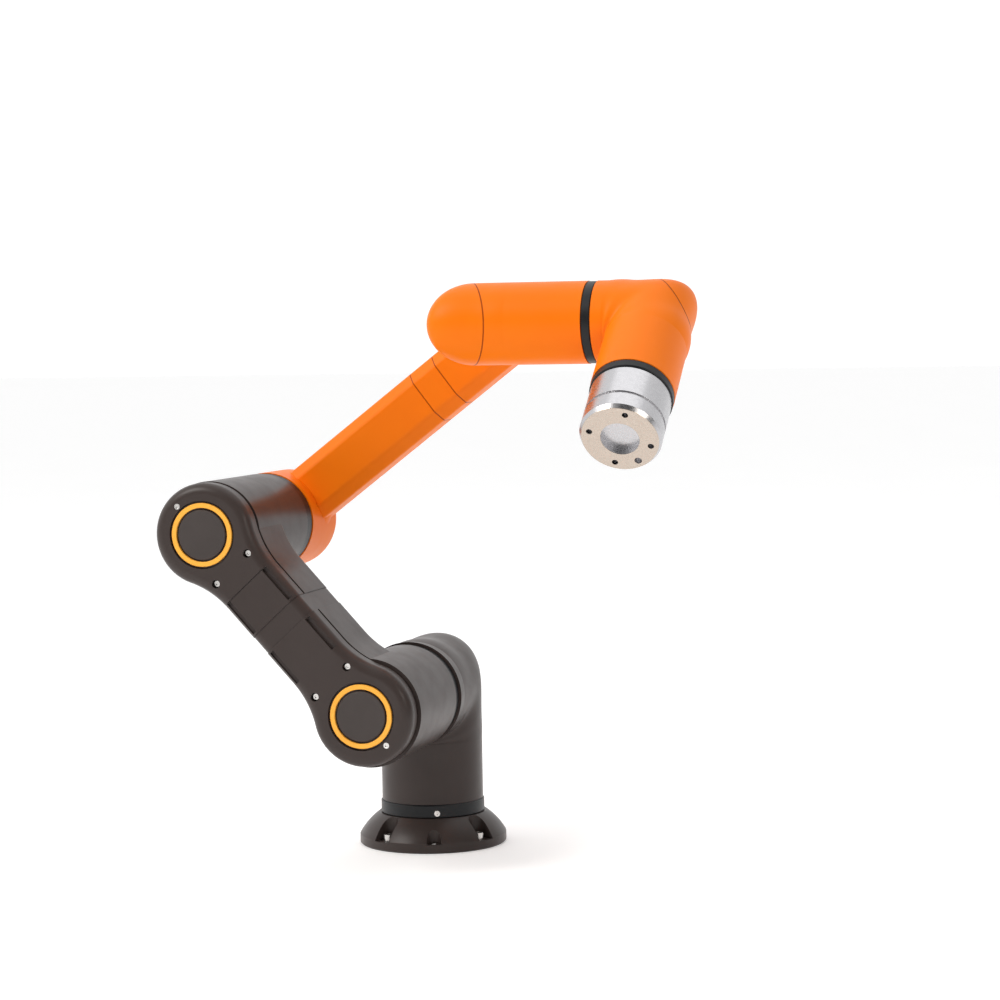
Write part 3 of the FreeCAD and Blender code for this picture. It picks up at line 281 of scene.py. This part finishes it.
# each line is a point and a normal of the plane where two shells meet
COLLAR_ENDS = [(ELBOW + FOREARM_WAY * reach, FOREARM_WAY) for reach in (COLLAR_START, COLLAR_END)]
WRIST_REAR = (Vector((0, REAR_CAP_FRONT, 0)), Vector((0, 1, 0)))
WRIST_ONE = (WRIST_ONE_CORNER, CAP_WAY)
WRIST_TWO = (WRIST_TWO_CORNER + TIP_WAY * TIP_DEPTH, TIP_WAY)
SEAMS = {
    "forearm_casting": COLLAR_ENDS,
    "forearm_collar": COLLAR_ENDS,
    "forearm_wrist_housing": COLLAR_ENDS + [WRIST_REAR],
    "forearm_wrist_cap": [WRIST_REAR],
    "wrist_one_housing": [WRIST_ONE],
    "wrist_one_cap": [WRIST_ONE],
    "wrist_two_housing": [WRIST_TWO],
    "wrist_two_cap": [WRIST_TWO],
}
for name, seams in SEAMS.items():
    node = nodes[name]
    node.data.materials[0] = with_seams(node.data.materials[0], name + "_paint", seams)

# ---------------------------------------------------------------- floor
FLOOR_SIZE = 60
FLOOR_GLOW = 0.22


def pale_floor():
    """A wide matt floor that glows faintly, so that it stays pale out to the horizon."""
    material, tree, shader = new_material("pale_floor")
    speckle = spread(tree, noise(tree, 3.0), *FINE_NOISE, 0.0, 1.0)
    tone = mix_colour(tree, speckle, (0.93, 0.93, 0.93), (0.91, 0.91, 0.91))
    tree.links.new(tone, shader.inputs["Base Color"])
    shader.inputs["Roughness"].default_value = 0.8
    shader.inputs["Emission Color"].default_value = WHITE
    shader.inputs["Emission Strength"].default_value = FLOOR_GLOW
    bpy.ops.mesh.primitive_plane_add(size=FLOOR_SIZE, location=(0, 0, 0))
    floor = bpy.context.object
    floor.name = "floor"
    floor.data.materials.append(material)


pale_floor()

# ---------------------------------------------------------------- studio light
BRIGHT_SIDE = Vector((-0.45, 0.65, 0.62)).normalized()
DARK_LEVEL = 0.06
BRIGHT_LEVEL = 1.1
# where the room turns from dark to bright, as the cosine of the angle to its bright side
DARK_COSINE = -0.15
BRIGHT_COSINE = 0.5


def studio_world():
    """A room that is bright behind and above, and dark in front and to the right."""
    world = bpy.data.worlds.new("studio")
    world.use_nodes = True
    tree = world.node_tree
    place = add(tree, "ShaderNodeTexCoord")
    side = add(tree, "ShaderNodeVectorMath", operation="DOT_PRODUCT")
    side.inputs[1].default_value = BRIGHT_SIDE
    tree.links.new(place.outputs["Generated"], side.inputs[0])
    level = add(tree, "ShaderNodeMapRange", interpolation_type="SMOOTHSTEP")
    set_range(level, DARK_COSINE, BRIGHT_COSINE, DARK_LEVEL, BRIGHT_LEVEL)
    tree.links.new(side.outputs["Value"], level.inputs["Value"])
    tree.links.new(level.outputs["Result"], tree.nodes["Background"].inputs["Strength"])
    tree.nodes["Background"].inputs["Color"].default_value = WHITE
    return world


scene.world = studio_world()


def softbox(name, place, target, width, height, power, colour=(1, 1, 1)):
    """A rectangular soft light aimed at a point."""
    light = bpy.data.lights.new(name, "AREA")
    light.shape = "RECTANGLE"
    light.size = width
    light.size_y = height
    light.energy = power
    light.color = colour
    lamp = bpy.data.objects.new(name, light)
    scene.collection.objects.link(lamp)
    lamp.location = place
    lamp.rotation_euler = (Vector(target) - Vector(place)).to_track_quat("-Z", "Y").to_euler()


ARM_CENTRE = (0.05, -0.1, 0.28)
softbox("key", (-1.8, -1.9, 2.5), ARM_CENTRE, 1.4, 1.4, 62, (1.0, 0.97, 0.93))
softbox("overhead", (0.3, 0.6, 3.2), ARM_CENTRE, 3.0, 2.0, 10)
softbox("wrist_fill", (0.95, -0.75, 0.65), WRIST_TWO_CORNER, 0.4, 0.4, 2.2, (1.0, 0.95, 0.88))

# ---------------------------------------------------------------- camera
CAMERA_PLACE = Vector((0.7372, -2.3912, 0.4617))
CAMERA_YAW = math.radians(15.626)
CAMERA_PITCH = math.radians(-3.447)
CAMERA_ROLL = math.radians(-0.951)
CAMERA_LENS = 99.34


def studio_camera():
    """A long-lens camera turned by yaw, pitch and roll from looking along +Y."""
    data = bpy.data.cameras.new("camera")
    data.lens = CAMERA_LENS
    data.sensor_width = 36.0
    data.clip_start = 0.1
    camera = bpy.data.objects.new("camera", data)
    scene.collection.objects.link(camera)
    ahead = Vector((-math.sin(CAMERA_YAW) * math.cos(CAMERA_PITCH),
                    math.cos(CAMERA_YAW) * math.cos(CAMERA_PITCH), math.sin(CAMERA_PITCH)))
    side = Vector((math.cos(CAMERA_YAW), math.sin(CAMERA_YAW), 0))
    above = side.cross(ahead)
    level = side * math.cos(CAMERA_ROLL) + above * math.sin(CAMERA_ROLL)
    upright = -side * math.sin(CAMERA_ROLL) + above * math.cos(CAMERA_ROLL)
    turn = Matrix((level, upright, -ahead)).transposed().to_4x4()
    camera.matrix_world = Matrix.Translation(CAMERA_PLACE) @ turn
    return camera


scene.camera = studio_camera()
scene.view_settings.view_transform = "Standard"
